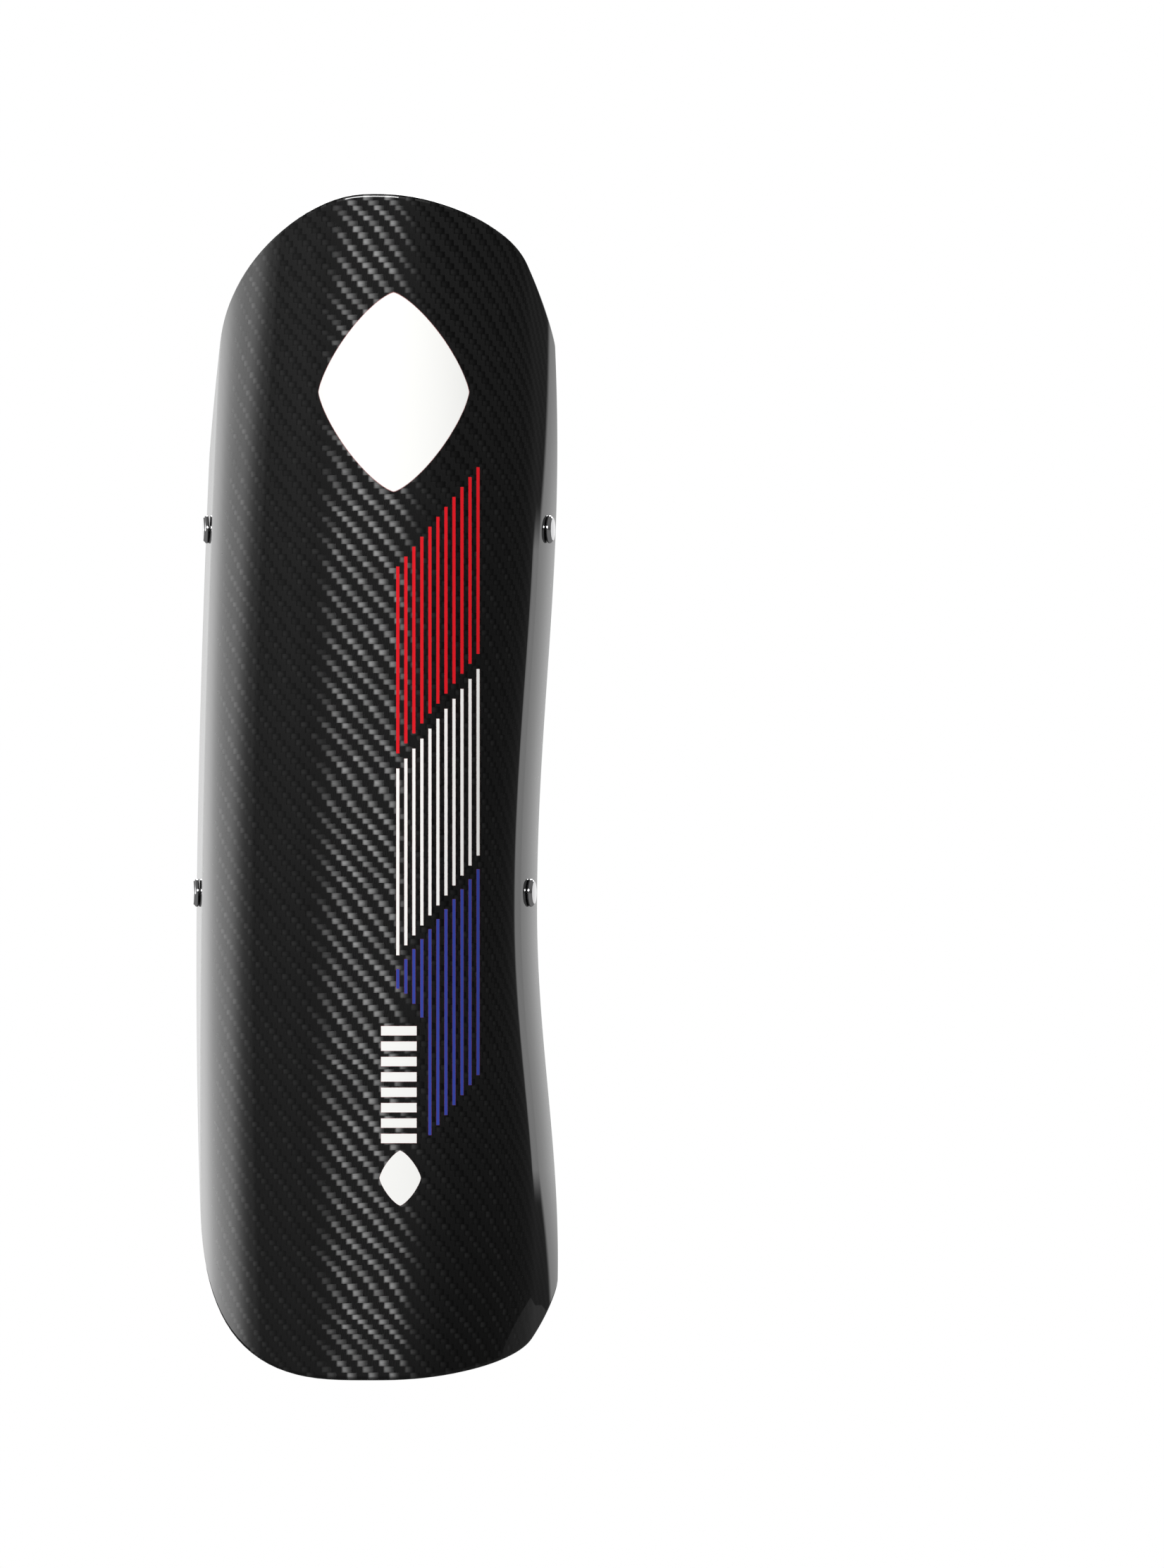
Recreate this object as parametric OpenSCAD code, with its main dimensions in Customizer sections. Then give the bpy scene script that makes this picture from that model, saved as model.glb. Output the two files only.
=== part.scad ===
// Shin guard of the kind worn by slalom ski racers: a clear-coated carbon shell bent into a deep U,
// a foam liner inside it, and two elastic straps riveted to its side walls that close behind the calf.
// +Z runs up the leg to the knee end and the front of the guard faces -Y.
// The origin is the middle of the leg channel, at half of the shell's length.
// This is the guard of the right leg: -X is its lateral (outer) side, +X its medial (inner) side.

/* [Shell] */
// Length of the shell from the ankle end to the knee end
shell_h = 400; // [380:1:420]
// Depth of the front curve ahead of the side walls
front_depth = 50; // [46:1:54]
// Wall thickness of the laminate
shell_t = 2.4; // [2:0.1:2.8]
// Half-width of the lateral side at mid-length
lateral_half = 60.1; // [57:0.1:63]
// Half-width of the medial side at its waist
medial_waist = 54.6; // [52:0.1:57]
// How much wider the medial side is above and below its waist
medial_swell = 7.2; // [4:0.1:9]
// Length of the straight side walls behind the front curve
wall_len = 34; // [32:1:36]

/* [Liner] */
// Thickness of the foam pads
foam_t = 7; // [5:0.5:8]
// Gap between the foam pads
pad_gap = 6; // [4:1:10]
// Distance from the shell's edge to the liner's edge
liner_inset = 8; // [6:1:12]

/* [Straps] */
// Width of the elastic webbing
strap_w = 40; // [36:1:44]
// Thickness of the elastic webbing
strap_t = 1.8; // [1.6:0.1:2]
// How far the closed loop reaches behind its hinge line
loop_depth = 42; // [38:1:48]
// Height of the upper rivets above mid-length
upper_z = 87.5; // [80:0.5:92]
// Height of the lower rivets, below mid-length
lower_z = -36; // [-42:0.5:-30]

/* [Rivets] */
// Diameter of the rivet caps
cap_d = 9.5; // [9:0.1:10]
// Height of the rivet caps
cap_h = 1.6; // [1.4:0.1:2.4]
// Diameter of the rivet shank
shank_d = 3.8; // [3.5:0.1:4]

/* [Hidden] */
$fn = 48;

LATERAL = -1;
MEDIAL = 1;
half_h = shell_h / 2;
end_flare = 6;         // how much deeper the front curve is at both ends
front_lean = 2;        // extra depth at the ankle end, taken from the knee end
lateral_lean = 0.022;  // the lateral wall leans out towards the ankle
lateral_bow = 0.0001;  // and bows by this much per mm squared
waist_z = -42;         // height of the medial waist
swell_up = 157;        // from the waist up to the widest medial point
swell_down = 118;      // and down to the other one
girth_r = 55;          // mean radius that turns girth into an angle round the front curve
crest_soft = 20;       // rounds the outline where it crosses the crest
front_share = 0.93;    // share of a quarter turn that the front curve takes before the walls start
back_trim = 2;         // how far the outline's back edges stay inside the ends of the walls
corner_girth = girth_r * PI / 2 * front_share + wall_len - back_trim;   // from the crest to a back edge
carbon = [0.07, 0.07, 0.075];
foam = [0.2, 0.2, 0.21];
webbing = [0.1, 0.1, 0.1];

// How far the side walls splay out towards the back, in degrees
function splay(side) = side == LATERAL ? 4 : 12;

// Half-width of the shell at the back edge, at height z
function half_w(side, z) =
    side == LATERAL ? lateral_half - lateral_lean * z - lateral_bow * z * z
    : medial_waist + medial_swell / 2
        * (1 - cos(180 * (z - waist_z) / (z > waist_z ? swell_up : swell_down)));
function depth(z) = front_depth + end_flare * pow(z / half_h, 2) - front_lean * z / half_h;

// The front curve is a quarter ellipse cut where its tangent meets the splayed wall
function wall_x(side, z) = half_w(side, z) - wall_len * sin(splay(side));
function cut_angle(side, z) =
    let (k = depth(z) * tan(splay(side)) / wall_x(side, z))
    acos((sqrt(1 + 4 * k * k) - 1) / (2 * k));
function outer_at(g, z) =
    let (side = g < 0 ? LATERAL : MEDIAL)
    let (q = abs(g))
    let (a1 = cut_angle(side, z))
    let (q1 = girth_r * a1 * PI / 180)
    let (a = min(q, q1) / girth_r * 180 / PI)
    let (w = max(0, q - q1))
    [side * (wall_x(side, z) * sin(a) / sin(a1) + w * sin(splay(side))),
     w * cos(splay(side)) - depth(z) * cos(a), z];
function unit(v) = v / norm(v);
function normal_at(g, z) =
    unit(cross(outer_at(g + 0.5, z) - outer_at(g - 0.5, z), outer_at(g, z + 0.5) - outer_at(g, z - 0.5)));
function below(g, z, d) = outer_at(g, z) - d * normal_at(g, z);

// The outline's four corners are quarter superellipses, softened at the crest: [height, power] of each
function corner_top(g) = g < 0 ? [88, 1.22] : [50, 1.25];
function corner_low(g) = g < 0 ? [200, 2] : [32, 1.35];
function softened(g) = norm([g, crest_soft]) - crest_soft;
function drop(g, c) =
    let (q = min(1, softened(g) / softened(corner_girth)))
    c[0] * (1 - pow(max(0, 1 - pow(q, c[1])), 1 / c[1]));
function top_z(g) = half_h - drop(g, corner_top(g));
function low_z(g) = -half_h + drop(g, corner_low(g));

// A curved slab between depths d0 and d1 below the shell's outer face: columns run along the girth
// from g0 to g1 and each one spans the outline, less the inset, within z0..z1
module slab(g0, g1, d0, d1, inset, z0, z1, cols, rows) {
    mid = (g0 + g1) / 2;
    span = (g1 - g0) / 2;
    gs = [for (i = [0 : cols]) mid + span * sin(180 * i / cols - 90)];
    layer = function (d) [
        for (g = gs)
            let (lo = max(z0, low_z(g) + inset))
            let (hi = min(z1, top_z(g) - inset))
            for (j = [0 : rows]) below(g, lo + (hi - lo) * j / rows, d)
    ];
    n = (cols + 1) * (rows + 1);
    at = function (i, j) i * (rows + 1) + j;
    faces = [
        for (i = [0 : cols - 1], j = [0 : rows - 1]) each [
            [at(i, j), at(i, j + 1), at(i + 1, j + 1)],
            [at(i, j), at(i + 1, j + 1), at(i + 1, j)],
            [n + at(i, j), n + at(i + 1, j + 1), n + at(i, j + 1)],
            [n + at(i, j), n + at(i + 1, j), n + at(i + 1, j + 1)]
        ],
        for (i = [0 : cols - 1]) each [
            [at(i, 0), at(i + 1, 0), n + at(i + 1, 0)],
            [at(i, 0), n + at(i + 1, 0), n + at(i, 0)],
            [at(i, rows), n + at(i, rows), n + at(i + 1, rows)],
            [at(i, rows), n + at(i + 1, rows), at(i + 1, rows)]
        ],
        for (j = [0 : rows - 1]) each [
            [at(0, j), n + at(0, j), n + at(0, j + 1)],
            [at(0, j), n + at(0, j + 1), at(0, j + 1)],
            [at(cols, j), at(cols, j + 1), n + at(cols, j + 1)],
            [at(cols, j), n + at(cols, j + 1), n + at(cols, j)]
        ]
    ];
    polyhedron(points = concat(layer(d0), layer(d1)), faces = faces, convexity = 6);
}

// ---- Rivet places ----
rivet_back_off = 13;   // from the rivet to the shell's back edge
rivet_girth = corner_girth - rivet_back_off;
function rivet_point(side, z) = outer_at(side * rivet_girth, z);
// The rivets lie level: their axis is the wall's normal in plan
function rivet_turn(side) = side == MEDIAL ? -splay(MEDIAL) : 180 + splay(LATERAL);

// Local frame at a rivet: +Z outwards along the rivet, +X down, and the back edge towards side * Y
module at_rivet(side, z) {
    translate(rivet_point(side, z)) rotate([0, 90, rivet_turn(side)]) children();
}

// Depths of the stack below the wall's outer face
seat_gap = 0.25;
washer_t = 1.5;
slip = 0.35;
tab_t = strap_t - 0.2;
tab_d = shell_t + seat_gap + washer_t + slip;      // outer face of the strap anchor
back_d = tab_d + tab_t + slip;                     // outer face of the back washer
back_washer_t = 0.6;
cup_d = back_d + back_washer_t + 0.05;             // outer face of the rivet's back cap
cup_t = 1.5;
bore_gap = 0.05;

module shell_body() {
    difference() {
        slab(-corner_girth, corner_girth, 0, shell_t, 0, -half_h, half_h, 44, 30);
        for (side = [LATERAL, MEDIAL], z = [upper_z, lower_z])
            at_rivet(side, z) translate([0, 0, -shell_t - 3]) cylinder(d = shank_d + 2 * bore_gap, h = 6);
    }
}
module carbon_shell() color(carbon) shell_body();

// ---- Liner ----
liner_lateral = -82;
liner_medial = 80;
hook_t = 1;                            // hook tape glued to the shell, under the pads
hook_gap = 0.1;
foam_d = shell_t + hook_t + 3 * hook_gap;
cloth_d = foam_d + foam_t + 0.1;
cloth_t = 0.9;
pad_split = 47;

module foam_pad(z0, z1, rows) {
    color(foam) slab(liner_lateral, liner_medial, foam_d, foam_d + foam_t, liner_inset, z0, z1, 18, rows);
}
module foam_pad_upper() foam_pad(pad_split + pad_gap / 2, half_h, 10);
module foam_pad_middle() foam_pad(-pad_split + pad_gap / 2, pad_split - pad_gap / 2, 6);
module foam_pad_lower() foam_pad(-half_h, -pad_split - pad_gap / 2, 10);
module liner_cloth() {
    color([0.14, 0.14, 0.15])
        slab(liner_lateral, liner_medial, cloth_d, cloth_d + cloth_t, liner_inset - 1, -half_h, half_h, 18, 20);
}
module liner_hook_patches() {
    half_girth = 12;
    half_height = 20;
    d = shell_t + hook_gap;
    color(webbing) for (g = [-50, 50], z = [-120, 0, 110])
        slab(g - half_girth, g + half_girth, d, d + hook_t, 0, z - half_height, z + half_height, 4, 3);
}

// ---- Rivets ----
module rivet(side, z) {
    r = cap_d / 2;
    shank = cup_d + cup_t - 0.6;
    color("silver") at_rivet(side, z) {
        translate([0, 0, seat_gap]) rotate_extrude()
            polygon([[0, 0], [r, 0], [r, 0.45 * cap_h], [r - 0.5, 0.7 * cap_h], [r - 1.2, cap_h], [0, cap_h]]);
        translate([0, 0, -shank]) cylinder(d = shank_d, h = shank + seat_gap + 0.2);
    }
}
module rivet_back(side, z) {
    color("silver") at_rivet(side, z) difference() {
        translate([0, 0, -cup_d - cup_t]) cylinder(d1 = cap_d - 1.6, d2 = cap_d - 0.4, h = cup_t);
        translate([0, 0, -cup_d - cup_t + 0.5]) cylinder(d = shank_d + 2 * bore_gap, h = cup_t);
    }
}
module washer(side, z, d, t, od) {
    at_rivet(side, z) translate([0, 0, -d - t]) difference() {
        cylinder(d = od, h = t);
        translate([0, 0, -1]) cylinder(d = shank_d + 2 * bore_gap, h = t + 2);
    }
}
module spacer_washers() {
    color([0.12, 0.12, 0.12]) for (side = [LATERAL, MEDIAL], z = [upper_z, lower_z])
        washer(side, z, shell_t + seat_gap, washer_t, 12);
}
module back_washers() {
    color("gainsboro") for (side = [LATERAL, MEDIAL], z = [upper_z, lower_z])
        washer(side, z, back_d, back_washer_t, 13);
}
module rivet_upper_lateral() rivet(LATERAL, upper_z);
module rivet_upper_medial() rivet(MEDIAL, upper_z);
module rivet_lower_lateral() rivet(LATERAL, lower_z);
module rivet_lower_medial() rivet(MEDIAL, lower_z);
module rivet_back_upper_lateral() rivet_back(LATERAL, upper_z);
module rivet_back_upper_medial() rivet_back(MEDIAL, upper_z);
module rivet_back_lower_lateral() rivet_back(LATERAL, lower_z);
module rivet_back_lower_medial() rivet_back(MEDIAL, lower_z);

// ---- Straps ----
hinge_y = 31.4;                        // the webbing bends here, 5 mm behind the shell's back edge
end_clear = strap_t / 2 + 0.4;         // from that line to the end of the riveted stretch
tab_hole_d = shank_d + 0.6;

// Distance along the wall from a rivet back to the line where the webbing bends
function hinge_reach(side, z) =
    (hinge_y - rivet_point(side, z)[1] - (tab_d + tab_t / 2) * sin(splay(side))) / cos(splay(side));

// The riveted end of the webbing, which swings about the rivet
module anchor_outline(reach) {
    nose_r = 10;
    wide_from = reach - 7;
    difference() {
        union() {
            circle(r = nose_r);
            polygon([
                [-nose_r, 0], [nose_r, 0], [strap_w / 2, wide_from], [strap_w / 2, reach - end_clear],
                [-strap_w / 2, reach - end_clear], [-strap_w / 2, wide_from]
            ]);
        }
        circle(d = tab_hole_d);
    }
}
module strap_anchor(side, z) {
    color(webbing) at_rivet(side, z) translate([0, 0, -tab_d - tab_t]) linear_extrude(tab_t)
        mirror([0, side == LATERAL ? 1 : 0, 0]) anchor_outline(hinge_reach(side, z));
}
module strap_anchor_upper_lateral() strap_anchor(LATERAL, upper_z);
module strap_anchor_upper_medial() strap_anchor(MEDIAL, upper_z);
module strap_anchor_lower_lateral() strap_anchor(LATERAL, lower_z);
module strap_anchor_lower_medial() strap_anchor(MEDIAL, lower_z);

// Plan position of the vertical line about which each half of the strap opens
function hinge_xy(side, z) =
    let (p = rivet_point(side, z))
    let (s = splay(side))
    let (d = tab_d + tab_t / 2)
    [p[0] + side * (hinge_reach(side, z) * sin(s) - d * cos(s)), hinge_y];

// The closed loop is half an ellipse in plan, and the inner half lies lap mm inside the outer one
tape_t = 1;                            // hook and loop tape on the straps
tape_gap = 0.05;
tape_pile = 0.4;                       // room between the two tapes
lap = strap_t + 2 * (tape_t + tape_gap) + tape_pile;
function loop_a(z) = (hinge_xy(MEDIAL, z)[0] + lap - hinge_xy(LATERAL, z)[0]) / 2;
function loop_x(z) = (hinge_xy(MEDIAL, z)[0] + lap + hinge_xy(LATERAL, z)[0]) / 2;
function loop_point(z, a, o) =
    let (n = unit([cos(a) / loop_a(z), sin(a) / loop_depth]))
    [loop_x(z) + loop_a(z) * cos(a), hinge_y + loop_depth * sin(a)] + o * n;

// A strip of the loop between angles a0 and a1 and offsets o0 and o1, as high as h
module strip(z, a0, a1, o0, o1, h, steps) {
    translate([0, 0, z - h / 2]) linear_extrude(h) polygon(concat(
        [for (i = [0 : steps]) loop_point(z, a0 + (a1 - a0) * i / steps, o0)],
        [for (i = [steps : -1 : 0]) loop_point(z, a0 + (a1 - a0) * i / steps, o1)]
    ));
}
module bend_end(side, z) {
    p = hinge_xy(side, z);
    translate([p[0], p[1], z - strap_w / 2]) cylinder(d = strap_t, h = strap_w);
}
outer_end = 50;
inner_end = 108;
patch_w = strap_w - 4;
module outer_strap(z) {
    color(webbing) {
        strip(z, 180, outer_end, -strap_t / 2, strap_t / 2, strap_w, 26);
        bend_end(LATERAL, z);
    }
}
module inner_strap(z) {
    color(webbing) {
        strip(z, 0, inner_end, -lap - strap_t / 2, -lap + strap_t / 2, strap_w, 22);
        bend_end(MEDIAL, z);
    }
}
module hook_patch(z) {
    o = -strap_t / 2 - tape_gap;
    color([0.06, 0.06, 0.06]) strip(z, outer_end + 2, 88, o - tape_t, o, patch_w, 8);
}
module loop_patch(z) {
    o = -lap + strap_t / 2 + tape_gap;
    color([0.16, 0.16, 0.16]) strip(z, 42, inner_end - 2, o, o + tape_t, patch_w, 12);
}
// The tab moulded on the free end of the outer half
module grip_tab(z) {
    inside = -1.2;
    outside = 1.3;
    sweep = 11;
    color([0.75, 0.1, 0.12]) strip(z, outer_end - 0.1, outer_end - sweep, inside, outside, strap_w - 8, 4);
}
module strap_upper_outer() outer_strap(upper_z);
module strap_upper_inner() inner_strap(upper_z);
module strap_lower_outer() outer_strap(lower_z);
module strap_lower_inner() inner_strap(lower_z);
module hook_patch_upper() hook_patch(upper_z);
module loop_patch_upper() loop_patch(upper_z);
module hook_patch_lower() hook_patch(lower_z);
module loop_patch_lower() loop_patch(lower_z);
module grip_tab_upper() grip_tab(upper_z);
module grip_tab_lower() grip_tab(lower_z);

carbon_shell();
foam_pad_upper();
foam_pad_middle();
foam_pad_lower();
liner_cloth();
liner_hook_patches();
rivet_upper_lateral();
rivet_upper_medial();
rivet_lower_lateral();
rivet_lower_medial();
rivet_back_upper_lateral();
rivet_back_upper_medial();
rivet_back_lower_lateral();
rivet_back_lower_medial();
spacer_washers();
back_washers();
strap_anchor_upper_lateral();
strap_anchor_upper_medial();
strap_anchor_lower_lateral();
strap_anchor_lower_medial();
strap_upper_outer();
strap_upper_inner();
strap_lower_outer();
strap_lower_inner();
hook_patch_upper();
loop_patch_upper();
hook_patch_lower();
loop_patch_lower();
grip_tab_upper();
grip_tab_lower();
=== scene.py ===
"""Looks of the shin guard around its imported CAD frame. Everything is in metres, in the CAD's own frame."""
import math

import bmesh
import bpy
from mathutils import Matrix, Vector


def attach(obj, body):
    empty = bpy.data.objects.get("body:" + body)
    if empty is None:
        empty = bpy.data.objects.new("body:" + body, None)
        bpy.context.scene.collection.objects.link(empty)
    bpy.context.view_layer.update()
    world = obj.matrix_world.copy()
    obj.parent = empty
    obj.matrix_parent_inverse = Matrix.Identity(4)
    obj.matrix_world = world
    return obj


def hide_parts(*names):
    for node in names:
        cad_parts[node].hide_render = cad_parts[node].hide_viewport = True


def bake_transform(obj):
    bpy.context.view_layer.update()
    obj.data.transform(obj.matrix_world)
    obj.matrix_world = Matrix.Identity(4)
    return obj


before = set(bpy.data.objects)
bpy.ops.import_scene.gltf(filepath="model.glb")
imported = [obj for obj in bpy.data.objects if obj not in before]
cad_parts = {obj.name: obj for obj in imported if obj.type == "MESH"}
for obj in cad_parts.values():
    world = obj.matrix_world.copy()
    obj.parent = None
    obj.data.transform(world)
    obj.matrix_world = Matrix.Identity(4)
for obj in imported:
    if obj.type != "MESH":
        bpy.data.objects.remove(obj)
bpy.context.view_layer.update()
MM = 0.001


# ---------------------------------------------------------------- the shell's surface, as in part.scad
HALF_H = 200.0
FRONT_DEPTH, END_FLARE, FRONT_LEAN = 50.0, 6.0, 2.0
LATERAL_HALF, LATERAL_LEAN, LATERAL_BOW = 60.1, 0.022, 0.0001
MEDIAL_WAIST, MEDIAL_SWELL, WAIST_Z, SWELL_UP, SWELL_DOWN = 54.6, 7.2, -42.0, 157.0, 118.0
WALL_LEN, SHELL_T, GIRTH_R, CREST_SOFT = 34.0, 2.4, 55.0, 20.0
FRONT_SHARE, BACK_TRIM = 0.93, 2.0
CORNER_GIRTH = GIRTH_R * math.pi / 2 * FRONT_SHARE + WALL_LEN - BACK_TRIM
SPLAY = {-1: math.radians(4), 1: math.radians(12)}
# Each corner of the outline: its height, and the power of its superellipse
TOP_CORNER = {-1: (88.0, 1.22), 1: (50.0, 1.25)}
LOW_CORNER = {-1: (200.0, 2.0), 1: (32.0, 1.35)}


def half_w(side, z):
    if side < 0:
        return LATERAL_HALF - LATERAL_LEAN * z - LATERAL_BOW * z * z
    swell = SWELL_UP if z > WAIST_Z else SWELL_DOWN
    return MEDIAL_WAIST + MEDIAL_SWELL / 2 * (1 - math.cos(math.pi * (z - WAIST_Z) / swell))


def depth(z):
    return FRONT_DEPTH + END_FLARE * (z / HALF_H) ** 2 - FRONT_LEAN * z / HALF_H


def outer_at(g, z):
    """The point of the shell's outer face at girth g from the crest and height z, in mm."""
    side = -1 if g < 0 else 1
    s = SPLAY[side]
    wall_x = half_w(side, z) - WALL_LEN * math.sin(s)
    k = depth(z) * math.tan(s) / wall_x
    cut = math.acos((math.sqrt(1 + 4 * k * k) - 1) / (2 * k))
    q = abs(g)
    a = min(q / GIRTH_R, cut)
    w = max(0.0, q - GIRTH_R * cut)
    x = wall_x * math.sin(a) / math.sin(cut) + w * math.sin(s)
    return Vector((side * x, w * math.cos(s) - depth(z) * math.cos(a), z))


def normal_at(g, z):
    across = outer_at(g + 0.5, z) - outer_at(g - 0.5, z)
    up = outer_at(g, z + 0.5) - outer_at(g, z - 0.5)
    return across.cross(up).normalized()


def below(g, z, d):
    return outer_at(g, z) - d * normal_at(g, z)


def softened(g):
    return math.hypot(g, CREST_SOFT) - CREST_SOFT


def drop(g, corner):
    height, power = corner
    q = min(1.0, softened(g) / softened(CORNER_GIRTH))
    return height * (1 - max(0.0, 1 - q**power) ** (1 / power))


def top_z(g):
    return HALF_H - drop(g, TOP_CORNER[-1 if g < 0 else 1])


def low_z(g):
    return -HALF_H + drop(g, LOW_CORNER[-1 if g < 0 else 1])


# ---------------------------------------------------------------- mesh helpers
def outward(mesh):
    """Turns a closed mesh's faces outwards."""
    work = bmesh.new()
    work.from_mesh(mesh)
    bmesh.ops.recalc_face_normals(work, faces=work.faces)
    work.to_mesh(mesh)
    work.free()


def make_piece(name, points, faces, uvs=None, sharp=None, slots=None):
    """A mesh object in metres from points in mm, smooth shaded, with UVs in metres of fabric."""
    mesh = bpy.data.meshes.new(name)
    mesh.from_pydata([tuple(c * MM for c in p) for p in points], [], faces)
    if slots:
        mesh.polygons.foreach_set("material_index", slots)
    outward(mesh)
    if uvs:
        layer = mesh.uv_layers.new(name="weave")
        for loop in mesh.loops:
            layer.data[loop.index].uv = [c * MM for c in uvs[loop.vertex_index]]
    mesh.shade_smooth()
    if sharp:
        mesh.set_sharp_from_angle(angle=math.radians(sharp))
    obj = bpy.data.objects.new(name, mesh)
    bpy.context.scene.collection.objects.link(obj)
    return obj


def give(obj, *materials):
    obj.data.materials.clear()
    for m in materials:
        obj.data.materials.append(m)


def stand_for(obj, body, slot, *nodes):
    """The piece rides on a body, unless it is blended, and replaces CAD nodes. The slot is not used."""
    if body:
        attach(obj, body)
    if nodes:
        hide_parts(*nodes)
    return obj


def spread(n, ease=0.0, collar=None):
    """n + 1 values from 0 to 1, closer together at both ends by ease, with a thin collar row there."""
    ts = [(1 - ease) * i / n + ease * (0.5 - 0.5 * math.cos(math.pi * i / n)) for i in range(n + 1)]
    return [0.0, collar] + ts[1:-1] + [1 - collar, 1.0] if collar else ts


def arc_lengths(line):
    """Running length along a list of points."""
    total = [0.0]
    for a, b in zip(line, line[1:]):
        total.append(total[-1] + (b - a).length)
    return total


def slab_piece(name, g0, g1, z0, z1, inset, outer, inner, cols, rows, round_steps, bulge, edged=False):
    """A curved slab like the CAD's: outer(g, z, e) and inner(g, z, e) give the depths of its two faces below
    the shell's outer face, where e is the distance to the slab's own edge, and its edge is rounded."""
    mid, half = (g0 + g1) / 2, (g1 - g0) / 2
    gs = [mid + half * math.sin(math.pi * (t - 0.5)) for t in spread(cols)]
    lines = []
    for g in gs:
        lo, hi = max(z0, low_z(g) + inset), min(z1, top_z(g) - inset)
        lines.append([(g, lo + (hi - lo) * t) for t in spread(rows, 0.6, 0.8 / max(hi - lo, 8))])
    n_rows = len(lines[0])
    border = ([(i, 0) for i in range(cols)] + [(cols, j) for j in range(n_rows - 1)]
              + [(i, n_rows - 1) for i in range(cols, 0, -1)] + [(0, j) for j in range(n_rows - 1, 0, -1)])
    rim = [Vector(lines[i][j]) for i, j in border]

    def edge_distance(p):
        best = 1e9
        for a, b in zip(rim, rim[1:] + rim[:1]):
            side = b - a
            t = min(max((p - a).dot(side) / max(side.length_squared, 1e-12), 0.0), 1.0)
            best = min(best, (p - a - side * t).length_squared)
        return math.sqrt(best)

    def index(i, j):
        return i * n_rows + j

    places = [Vector(p) for line in lines for p in line]
    far = [edge_distance(p) if edged else 0.0 for p in places]
    for i, j in border:
        far[index(i, j)] = 0.0
    flat = {}
    for row in range(n_rows):
        line = [outer_at(*lines[i][row]) for i in range(cols + 1)]
        run = arc_lengths([Vector((p.x, p.y, 0)) for p in line])
        crest = run[min(range(cols + 1), key=lambda i: abs(gs[i]))]
        for i in range(cols + 1):
            flat[index(i, row)] = (run[i] - crest, lines[i][row][1])
    top = [below(p.x, p.y, outer(p.x, p.y, e)) for p, e in zip(places, far)]
    low = [below(p.x, p.y, inner(p.x, p.y, e)) for p, e in zip(places, far)]
    n = len(top)
    points = top + low
    uvs = [flat[k] for k in range(n)] * 2
    faces, slots = [], []
    for i in range(cols):
        for j in range(n_rows - 1):
            q = (index(i, j), index(i + 1, j), index(i + 1, j + 1), index(i, j + 1))
            faces.append(q)
            slots.append(0)
            faces.append(tuple(n + k for k in reversed(q)))
            slots.append(1)
    # The rim: a half-round of round_steps from the outer face to the inner one
    count = len(border)
    ring = [index(i, j) for i, j in border]
    previous = ring
    for step in range(1, round_steps + 1):
        angle = math.pi * step / round_steps
        if step == round_steps:
            current = [n + k for k in ring]
        else:
            current = []
            for m, k in enumerate(ring):
                a, b = top[k], low[k]
                along = top[ring[(m + 1) % count]] - top[ring[m - 1]]
                out = along.cross(a - b).normalized()
                p = (a + b) / 2 + (a - b) / 2 * math.cos(angle) + out * bulge * math.sin(angle)
                current.append(len(points))
                points.append(p)
                uvs.append(flat[k])
        for m in range(count):
            faces.append((previous[m], current[m], current[(m + 1) % count], previous[(m + 1) % count]))
            slots.append(2)
        previous = current
    return make_piece(name, points, faces, uvs, slots=slots)


def ribbon_piece(name, path, width, thick, z_mid, round_steps=5, cols=22):
    """Webbing of a given width whose middle line in plan is path, a list of (x, y) in mm. Its two selvedges
    are rounded, and its UVs run along it."""
    run = arc_lengths([Vector((x, y, 0)) for x, y in path])
    half_t, reach = thick / 2, width / 2
    section = []
    for k in range(cols + 1):
        v = -reach + half_t + (width - thick) * k / cols
        section.append((v, half_t))
    for k in range(1, round_steps):
        a = math.pi * k / round_steps
        section.append((reach - half_t + half_t * math.sin(a), half_t * math.cos(a)))
    for k in range(cols + 1):
        v = reach - half_t - (width - thick) * k / cols
        section.append((v, -half_t))
    for k in range(1, round_steps):
        a = math.pi * k / round_steps
        section.append((-reach + half_t - half_t * math.sin(a), -half_t * math.cos(a)))
    points, uvs, faces = [], [], []
    m = len(section)
    for i, (x, y) in enumerate(path):
        a, b = Vector(path[max(0, i - 1)]), Vector(path[min(len(path) - 1, i + 1)])
        d = (b - a).normalized()
        nrm = Vector((d.y, -d.x))
        for v, o in section:
            points.append(Vector((x + nrm.x * o, y + nrm.y * o, z_mid + v)))
            uvs.append((run[i], v))
    for i in range(len(path) - 1):
        for k in range(m):
            k2 = (k + 1) % m
            faces.append((i * m + k, i * m + k2, (i + 1) * m + k2, (i + 1) * m + k))
    faces.append(tuple(reversed(range(m))))
    faces.append(tuple((len(path) - 1) * m + k for k in range(m)))
    return make_piece(name, points, faces, uvs, sharp=60)


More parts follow.
